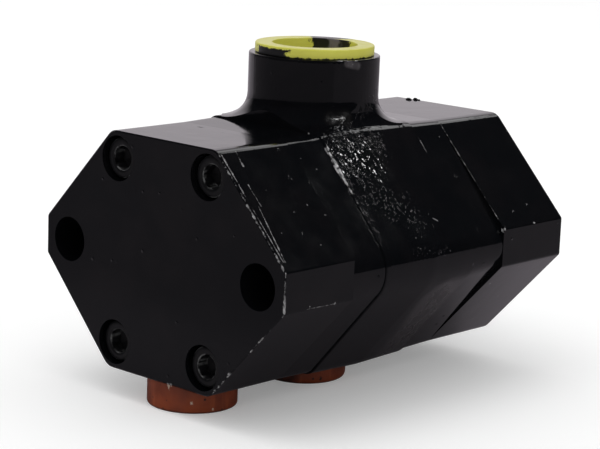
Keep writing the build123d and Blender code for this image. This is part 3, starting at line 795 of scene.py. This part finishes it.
def plasticYellow(name, setup):
    shade = Shade(name)
    x, y, z = shade.axes()
    across = shade.math("SUBTRACT", x, middleX)
    along = shade.math("SUBTRACT", y, portY)
    height = shade.math("SUBTRACT", z, bossTop)
    radius = shade.fromAxis(across, along)

    def shiftedBy(value, wobble, limits):
        return shade.math("ADD", value, shade.between(shade.noise(*wobble), *limits))

    ragged = shiftedBy(height, setup["runNoise"], setup["runRange"])
    sunk = shiftedBy(height, setup["sunkNoise"], setup["sunkRange"])
    turned = shade.math("ARCTAN2", along, across)
    turned = shiftedBy(turned, setup["wanderNoise"], setup["wanderRange"])

    def turnBetween(low, high, soft=setup["turnSoft"]):
        low, high = math.radians(low), math.radians(high)
        after = shade.between(turned, low - soft, low + soft)
        return shade.both(after, shade.opposite(shade.between(turned, high - soft, high + soft)))

    # Black paint on the flange's side, along its seat, in the well and on the far rim
    onSide = shade.between(radius, *setup["flangeSide"])
    splash = shade.opposite(shade.between(ragged, *setup["splashTop"]))
    splash = shade.both(turnBetween(*setup["splashTurn"]), onSide, splash)
    seatLine = shade.opposite(shade.between(ragged, *setup["seatLineTop"]))
    seatLine = shade.both(onSide, seatLine)
    well = shade.opposite(shade.between(radius, *setup["wellWall"]))
    well = shade.both(well, shade.between(sunk, *setup["wellBottom"]))
    well = shade.both(well, turnBetween(*setup["wellTurn"]))
    inner = shade.between(turned, *map(math.radians, setup["rimWidens"]), *setup["rimInner"])
    rim = shade.between(shade.math("SUBTRACT", radius, inner), *setup["rimEdge"])
    rim = shade.both(rim, turnBetween(*setup["rimTurn"]))
    rim = shade.both(rim, shade.between(height, *setup["rimTop"]))
    painted = shade.most(splash, seatLine, well, rim)
    # painted sheen: pale grey laid on part of the well's black paint, standing for a reflection on
    # it
    paintedSheen = shade.both(well, turnBetween(*setup["paintedSheenTurn"]), setup["paintedSheenShare"])

    flow = shade.noise(*setup["flowNoise"])
    colour = shade.mix(flow, *setup["yellows"])
    colour = shade.mix(painted, colour, setup["paint"])
    colour = shade.mix(paintedSheen, colour, setup["paintedSheen"])
    rough = shade.between(flow, *setup["roughRange"])
    normal = shade.bump(shade.noise(*setup["dentNoise"]), setup["dentDepth"])
    normal = shade.bump(painted, setup["paintDepth"], normal)
    return shade.finish(
        Base_Color=colour,
        Roughness=rough,
        Normal=normal,
        Subsurface_Weight=setup["glow"],
        Subsurface_Radius=setup["glowReach"],
    )


profile = roundedRun(inletPlug["points"], inletPlug["radii"], inletPlug["roundSteps"])
middle = (middleX / mm, portY / mm, bossTop / mm)
mesh = ringMesh("inletPlugCup", profile, middle, inletPlug["sides"], plugWobble)
mesh.materials.append(plasticYellow("yellowPlugPlastic", inletPlug))
smoothBelow(mesh, inletPlug["smooth"])
newPiece("inletPlugCup", mesh, "casing", "yellow_plastic", "inlet_plug")
print("inlet plug made")

# Brown caps in the outlets, on which the pump stands. The sixth radius is each cap's rounding.
outletCaps = {
    "outletCapRear": {
        "node": "rear_outlet_cap",
        "y": rearOutletY,
        "rounding": 1.2,
        "ribAt": -55.0,
        "ribRise": 0.45,
        "seed": 0.0,
        # light spots: rubbed marks and chips, and a painted highlight beside the rib
        "rubbedAndHighlit": [
            ((33.7, -180.7, -61.2), 1.3, 1.0),
            ((24.7, -185.9, -54.6), 1.8, 2.0),
            ((38.5, -172.5, -64.0), 0.9, 3.0),
        ],
        "dirty": [((15.0, -186.1, -61.5), 0.9, 4.0), ((21.9, -186.4, -64.8), 1.1, 5.0)],
        "sprayed": False,
    },
    "outletCapCentre": {
        "node": "centre_outlet_cap",
        "y": portY,
        "rounding": 4.0,
        "ribAt": 0.0,
        "ribRise": 0.0,
        "seed": 3.0,
        "rubbedAndHighlit": [],
        "dirty": [((38.0, -103.0, -63.0), 1.2, 6.0)],
        "sprayed": True,
    },
}
capSetup = {
    "points": [
        (0, -15), (15.5, -15), (16.4, -0.8), (16.4, 0), (20, 0), (20, 13), (13.5, 13),
        (12.65, -12.9), (0, -12.9),
    ],
    "radii": [0, 1.0, 0, 0, 0.4, None, 0.6, 1.0, 0],
    "roundSteps": 7,
    "sides": 144,
    "smooth": 40,
    "ribFrom": 19.9,
    "ribHalfTurn": 6.0,
    "ribPower": 4,
    "browns": ((0.195, 0.034, 0.007), (0.13, 0.021, 0.005)),
    "flowNoise": (11 * mm, 3, 0.5),
    "flowRange": (0.3, 0.7),
    "rough": (0.38, 0.55),
    "band": (0.28, 0.06, 0.016),
    "bandNoise": (3.2 * mm, 2, 0.5),
    "bandStretch": (1.0, 1.0, 0.08),
    "bandRange": (0.56, 0.72, 0.0, 0.5),
    "speck": (0.03, 0.008, 0.006),
    "speckSize": 6 * mm,
    "speckRange": (0.05, 0.13),
    "foot": (0.05, 0.012, 0.006),
    "footRange": (-65.7 * mm, -64.6 * mm, 0.75, 0.0),
    "spray": (0.015, 0.009, 0.008),
    "sprayNoise": (6 * mm, 4, 0.7, 9),
    "sprayShift": (0.2, 0.8, -6 * mm, 6 * mm),
    "sprayRange": (20 * mm, 34 * mm),
    # light brown of the rubbed spots and of the painted highlight
    "rubbedAndHighlit": (0.36, 0.26, 0.2),
    "dirty": (0.012, 0.006, 0.005),
    "dentNoise": (3 * mm, 3, 0.6),
    "dentDepth": 0.04 * mm,
    "specular": 0.35,
}


def plasticBrown(name, cap, setup):
    seed = cap["seed"]
    shade = Shade(name)
    x, _, z = shade.axes()
    flow = shade.noise(*setup["flowNoise"], seed)
    colour = shade.mix(shade.between(flow, *setup["flowRange"]), *setup["browns"])
    band = shade.noise(*setup["bandNoise"], seed + 2, setup["bandStretch"])
    colour = shade.mix(shade.between(band, *setup["bandRange"]), colour, setup["band"])
    specks = shade.between(shade.cells(setup["speckSize"], seed), *setup["speckRange"])
    colour = shade.mix(shade.opposite(specks), colour, setup["speck"])
    colour = shade.mix(shade.between(z, *setup["footRange"]), colour, setup["foot"])
    if cap["sprayed"]:
        shift = shade.between(shade.noise(*setup["sprayNoise"]), *setup["sprayShift"])
        clear = shade.between(shade.math("ADD", x, shift), *setup["sprayRange"])
        colour = shade.mix(shade.opposite(clear), colour, setup["spray"])
    # light spots, rubbed and painted highlight, then dark dirty spots
    for kind in ("rubbedAndHighlit", "dirty"):
        if cap[kind]:
            spots = shade.most(*(shade.nearPoint(*spot) for spot in cap[kind]))
            colour = shade.mix(spots, colour, setup[kind])
    rough = shade.between(flow, *setup["flowRange"], *setup["rough"])
    normal = shade.bump(shade.noise(*setup["dentNoise"], seed + 5), setup["dentDepth"])
    return shade.finish(
        Base_Color=colour, Roughness=rough, Normal=normal, Specular_IOR_Level=setup["specular"]
    )


def ribbedRadius(cap, setup):
    def radiusAt(index, angle, radius):
        if radius <= setup["ribFrom"]:
            return radius
        turn = (math.degrees(angle) - cap["ribAt"] + 180) % 360 - 180
        away = abs(turn) / setup["ribHalfTurn"]
        return radius + cap["ribRise"] * max(0.0, 1 - away ** setup["ribPower"])

    return radiusAt


for name, cap in outletCaps.items():
    radii = [cap["rounding"] if radius is None else radius for radius in capSetup["radii"]]
    profile = roundedRun(capSetup["points"], radii, capSetup["roundSteps"])
    middle = (middleX / mm, cap["y"] / mm, -halfHeight / mm)
    radiusAt = ribbedRadius(cap, capSetup)
    mesh = ringMesh(name, profile, middle, capSetup["sides"], radiusAt, direction=-1)
    mesh.materials.append(plasticBrown(name + "Plastic", cap, capSetup))
    smoothBelow(mesh, capSetup["smooth"])
    newPiece(name, mesh, "casing", "brown_plastic", cap["node"])
print("outlet caps made")

# Tie screws: one is made along Y from the top of its head, then set at the four corners.
# The socket's points are half its width across the flats.
screwSetup = {
    "spacing": (55.3 * mm, 81.9 * mm),
    "headTop": -186.1 * mm,
    "seed": 4,
    "profile": [
        (0, 154.6), (4.5, 154.6), (6.0, 153.1), (6.0, 12.4), (6.6, 12.0), (8.8, 12.0),
        (9.0, 11.8), (9.0, 1.4), (8.92, 0.9), (8.7, 0.45), (8.35, 0.15), (7.9, 0.0), (6.5, 0.0),
        (6.1, 0.08), (5.3, 0.7),
    ],
    "socket": [(5.05, 1.1), (5.0, 6.0), (2.5, 6.8), (0, 7.4)],
    "sides": 96,
    "smooth": 35,
    "black": (0.005, 0.005, 0.0058),
    # light grey on the rims: rubbed paint and painted highlights
    "wornAndHighlit": (0.1, 0.1, 0.102),
    "wornAndHighlitRings": ((5.4 * mm, 0.35 * mm), (8.6 * mm, 0.3 * mm)),
    "wornAndHighlitCore": 0.4,
    "wornAndHighlitNoise": (5 * mm, 4, 0.65, 13),
    "wornAndHighlitRange": (0.45, 0.62),
    "grainNoise": (2 * mm, 3, 0.5, 3),
    "grainDepth": 0.02 * mm,
    "rough": 0.38,
}


def wornAndHighlitScrewPaint(name, setup):  # black, with light grey on the heads' rims and round the sockets: rubbed paint and painted highlights
    shade = Shade(name)
    x, _, z = shade.axes()
    spacingX, spacingZ = setup["spacing"]
    x = shade.math("ABSOLUTE", shade.math("SUBTRACT", x, middleX))
    x = shade.math("SUBTRACT", x, spacingX / 2)
    z = shade.math("SUBTRACT", shade.math("ABSOLUTE", z), spacingZ / 2)
    radius = shade.fromAxis(x, z)
    # rims and socket edges in light grey, broken by noise: rubbed paint and painted highlights
    rings = []
    for middle, width in setup["wornAndHighlitRings"]:
        away = shade.math("ABSOLUTE", shade.math("SUBTRACT", radius, middle))
        rings.append(shade.opposite(shade.between(away, setup["wornAndHighlitCore"] * width, width)))
    patchy = shade.between(shade.noise(*setup["wornAndHighlitNoise"]), *setup["wornAndHighlitRange"])
    wornAndHighlit = shade.both(shade.most(*rings), patchy)
    colour = shade.mix(wornAndHighlit, setup["black"], setup["wornAndHighlit"])
    normal = shade.bump(shade.noise(*setup["grainNoise"]), setup["grainDepth"])
    return shade.finish(
        Base_Color=colour, Roughness=setup["rough"], IOR=paintSetup["ior"], Normal=normal
    )


def screwMesh(name, setup):
    def sixSided(index, angle, radius):  # the socket's rings are hexagons
        if index < len(setup["profile"]):
            return radius
        turn = (angle + math.pi / 6) % (math.pi / 3) - math.pi / 6
        return radius / math.cos(turn)

    profile = setup["profile"] + setup["socket"]
    return ringMesh(name, profile, (0, 0, 0), setup["sides"], sixSided, axis="Y")


def screwTree():
    growth = Growth(
        "cornerScrews",
        {
            "Spacing X": "NodeSocketFloat",
            "Spacing Z": "NodeSocketFloat",
            "Middle": "NodeSocketVector",
            "Screw": "NodeSocketObject",
            "Seed": "NodeSocketInt",
            "Paint": "NodeSocketMaterial",
        },
    )
    given = growth.given
    sizes = (given["Spacing X"], given["Spacing Z"], 2, 2)
    grid = growth.add("GeometryNodeMeshGrid", *sizes).outputs[0]
    upright = growth.add("GeometryNodeTransform", grid)
    upright.inputs["Rotation"].default_value = (math.pi / 2, 0, 0)
    growth.plug(given["Middle"], upright.inputs["Translation"])
    screw = growth.add("GeometryNodeObjectInfo", given["Screw"]).outputs["Geometry"]
    turned = growth.add("FunctionNodeRandomValue", data_type="FLOAT_VECTOR")
    turned.inputs[0].default_value = (0, 0, 0)
    turned.inputs[1].default_value = (0, math.pi / 3, 0)
    growth.plug(given["Seed"], turned.inputs["Seed"])
    placed = growth.add("GeometryNodeInstanceOnPoints", upright.outputs[0])
    growth.plug(screw, placed.inputs["Instance"])
    growth.plug(turned.outputs[0], placed.inputs["Rotation"])
    growth.finish(placed.outputs[0])
    return growth


oneScrew = bpy.data.objects.new("oneScrew", screwMesh("oneScrew", screwSetup))
carrier = bpy.data.objects.new("screwCarrier", bpy.data.meshes.new("screwCarrier"))
for helper in (oneScrew, carrier):
    bpy.context.scene.collection.objects.link(helper)
values = {
    "Spacing X": screwSetup["spacing"][0],
    "Spacing Z": screwSetup["spacing"][1],
    "Middle": (middleX, screwSetup["headTop"], 0),
    "Screw": oneScrew,
    "Seed": screwSetup["seed"],
    "Paint": wornAndHighlitScrewPaint("screwPaint", screwSetup),
}
mesh = screwTree().apply(carrier, values)
for helper in (oneScrew, carrier):
    bpy.data.objects.remove(helper)
smoothBelow(mesh, screwSetup["smooth"])
newPiece("tieScrewSet", mesh, "casing", "screw_paint", "tie_screws")
print("tie screws made", len(mesh.polygons))

# Three drops of thick paint that stand on the far top edge: middle and reach, in millimetres
dropSetup = {
    "drops": [
        ((-0.6, -3.4, 53.1), (1.7, 0.9, 0.8)),
        ((1.4, -0.6, 53.0), (1.5, 0.7, 0.9)),
        ((3.6, -0.5, 52.9), (0.7, 0.5, 0.6)),
    ],
    "subdivisions": 3,
    "lumps": 0.25,
    "lumpTurns": 1.6,
    "smooth": 60,
}


def dropMesh(name, setup):
    shape = bmesh.new()
    for middle, reach in setup["drops"]:
        rounds = setup["subdivisions"]
        made = bmesh.ops.create_icosphere(shape, subdivisions=rounds, radius=1.0)["verts"]
        for vert in made:
            place = vert.co * setup["lumpTurns"] + Vector(middle)
            lump = 1 + setup["lumps"] * noise.noise(place)
            vert.co = Vector(m + r * c * lump for m, r, c in zip(middle, reach, vert.co)) * mm
    mesh = bpy.data.meshes.new(name)
    shape.to_mesh(mesh)
    shape.free()
    return mesh


mesh = dropMesh("paintDrops", dropSetup)
mesh.materials.append(paints["front_cover"])
smoothBelow(mesh, dropSetup["smooth"])
newPiece("paintDrops", mesh, "casing", "casing_paint")
print("paint drops set")

# Studio: pale floor, a bright backdrop behind the pump, dark in front, and soft boxes.
# The floor is dimmer in mirrored rays, by place: in front, near and behind the pump.
studio = {
    "focus": (middleX, -0.1, 0.0),
    "floorRadius": 6.0,
    "floorSides": 96,
    "floorColour": (0.88, 0.88, 0.88),
    "floorRough": 0.9,
    "floorLift": 0.2,
    "floorMirrored": (0.88, 0.8, 0.88),
    "floorShares": (0.19, 0.28),
    "floorNear": (-0.36, -0.26),
    "floorBehind": 0.3,
    "behindWay": (-0.8, 0.6, 0.0),
    "behindRange": (-0.085, -0.025),
    "behindStart": (-0.25, -0.1),
    "rightWay": (0.7, 0.7, 0.0),
    "rightRange": (0.4, 0.2),
    "seen": 1.0,
    "around": 0.86,
    "dark": (0.016, 0.016, 0.0185),
    "backdrop": (0.76, 0.71, 0.752),
    "backdropWay": (-0.743, 0.669, 0.0),
    "backdropAcross": (0.62, 0.95),
    "backdropUp": (0.85, 0.5),
    "brighterUp": (0.24, 0.42, 1.0, 1.8),
}
# Lights: place, size, brightness, seen in mirrored rays, lights matt surfaces
lights = {
    "overheadBox": ((-0.2, -0.5, 2.2), (1.4, 1.4), 1.2, False, True),
    "leftBox": ((-1.9, -0.9, 1.1), (0.9, 0.9), 0.6, False, True),
    "rightStrip": ((1.15, 0.35, 1.9), (0.14, 0.5), 40, True, False),
    "backStrip": ((-0.6, 1.2, 2.1), (0.5, 0.14), 40, True, False),
    "bandBox": ((-0.36, 1.34, 1.34), (0.7, 0.5), 1.8, True, False),
    "glintBox": ((0.9, 1.0, 1.42), (0.22, 0.22), 34, True, False),
}


def floorPaper(name, setup):
    shade = Shade(name)
    rays = shade.add("ShaderNodeLightPath").outputs
    y = shade.axes()[1]
    behind = shade.vector("DOT_PRODUCT", shade.place, setup["behindWay"])
    toRight = shade.vector("DOT_PRODUCT", shade.place, setup["rightWay"])
    behind = shade.both(
        shade.between(behind, *setup["behindRange"]),
        shade.between(y, *setup["behindStart"]),
        shade.between(toRight, *setup["rightRange"]),
        setup["floorBehind"],
    )
    near = shade.between(y, *setup["floorNear"], *setup["floorShares"])
    mirrored = shade.mix(shade.math("ADD", near, behind), (0, 0, 0), setup["floorMirrored"])
    return shade.finish(
        Base_Color=shade.mix(rays["Is Glossy Ray"], setup["floorColour"], mirrored),
        Roughness=setup["floorRough"],
        Specular_IOR_Level=0.0,
        Emission_Color=(1, 1, 1, 1),
        Emission_Strength=shade.both(rays["Is Camera Ray"], setup["floorLift"]),
    )


def addFloor(setup):
    shape = bmesh.new()
    radius, sides = setup["floorRadius"], setup["floorSides"]
    bmesh.ops.create_circle(shape, cap_ends=True, segments=sides, radius=radius)
    x, y, _ = setup["focus"]
    bmesh.ops.translate(shape, verts=shape.verts, vec=(x, y, restHeight))
    mesh = bpy.data.meshes.new("floor")
    shape.to_mesh(mesh)
    shape.free()
    mesh.materials.append(floorPaper("floorPaper", setup))
    floor = bpy.data.objects.new("floor", mesh)
    bpy.context.scene.collection.objects.link(floor)


def addLight(name, place, size, brightness, mirrored, spread):
    light = bpy.data.lights.new(name, "AREA")
    light.shape = "RECTANGLE"
    light.size, light.size_y = size
    light.energy = brightness * math.pi * size[0] * size[1]
    obj = bpy.data.objects.new(name, light)
    obj.visible_glossy = mirrored
    obj.visible_diffuse = spread
    bpy.context.scene.collection.objects.link(obj)
    aim = (Vector(studio["focus"]) - Vector(place)).to_track_quat("-Z", "Y").to_matrix().to_4x4()
    obj.matrix_world = Matrix.Translation(place) @ aim


def addWorld(setup):
    world = bpy.data.worlds.new("studio")
    bpy.context.scene.world = world
    world.use_nodes = True
    sky = NodeTree(world.node_tree)
    sky.tree.nodes.clear()
    rays = sky.add("ShaderNodeLightPath").outputs
    heading = sky.add("ShaderNodeTexCoord").outputs["Generated"]
    height = sky.add("ShaderNodeSeparateXYZ", heading).outputs[2]

    def smooth(value, limits):
        node = sky.add("ShaderNodeMapRange", value, *limits, interpolation_type="SMOOTHSTEP")
        return node.outputs[0]

    facing = sky.vector("DOT_PRODUCT", heading, setup["backdropWay"])
    across, upward = smooth(facing, setup["backdropAcross"]), smooth(height, setup["backdropUp"])
    tint = sky.add("ShaderNodeMix", sky.math("MULTIPLY", across, upward), data_type="RGBA")
    tint.inputs[6].default_value = (*setup["dark"], 1)
    tint.inputs[7].default_value = (*setup["backdrop"], 1)
    brighter = sky.add("ShaderNodeMapRange", height, *setup["brighterUp"]).outputs[0]
    mirrored = sky.add("ShaderNodeBackground", tint.outputs[2], brighter)
    levels = (rays["Is Camera Ray"], 0.0, 1.0, setup["around"], setup["seen"])
    level = sky.add("ShaderNodeMapRange", *levels).outputs[0]
    plain = sky.add("ShaderNodeBackground", (1, 1, 1, 1), level)
    backgrounds = (plain.outputs[0], mirrored.outputs[0])
    chosen = sky.add("ShaderNodeMixShader", rays["Is Glossy Ray"], *backgrounds)
    sky.add("ShaderNodeOutputWorld", chosen.outputs[0])


addFloor(studio)
addWorld(studio)
for name, light in lights.items():
    addLight(name, *light)
bpy.context.scene.view_settings.view_transform = "Standard"
print("studio lit")
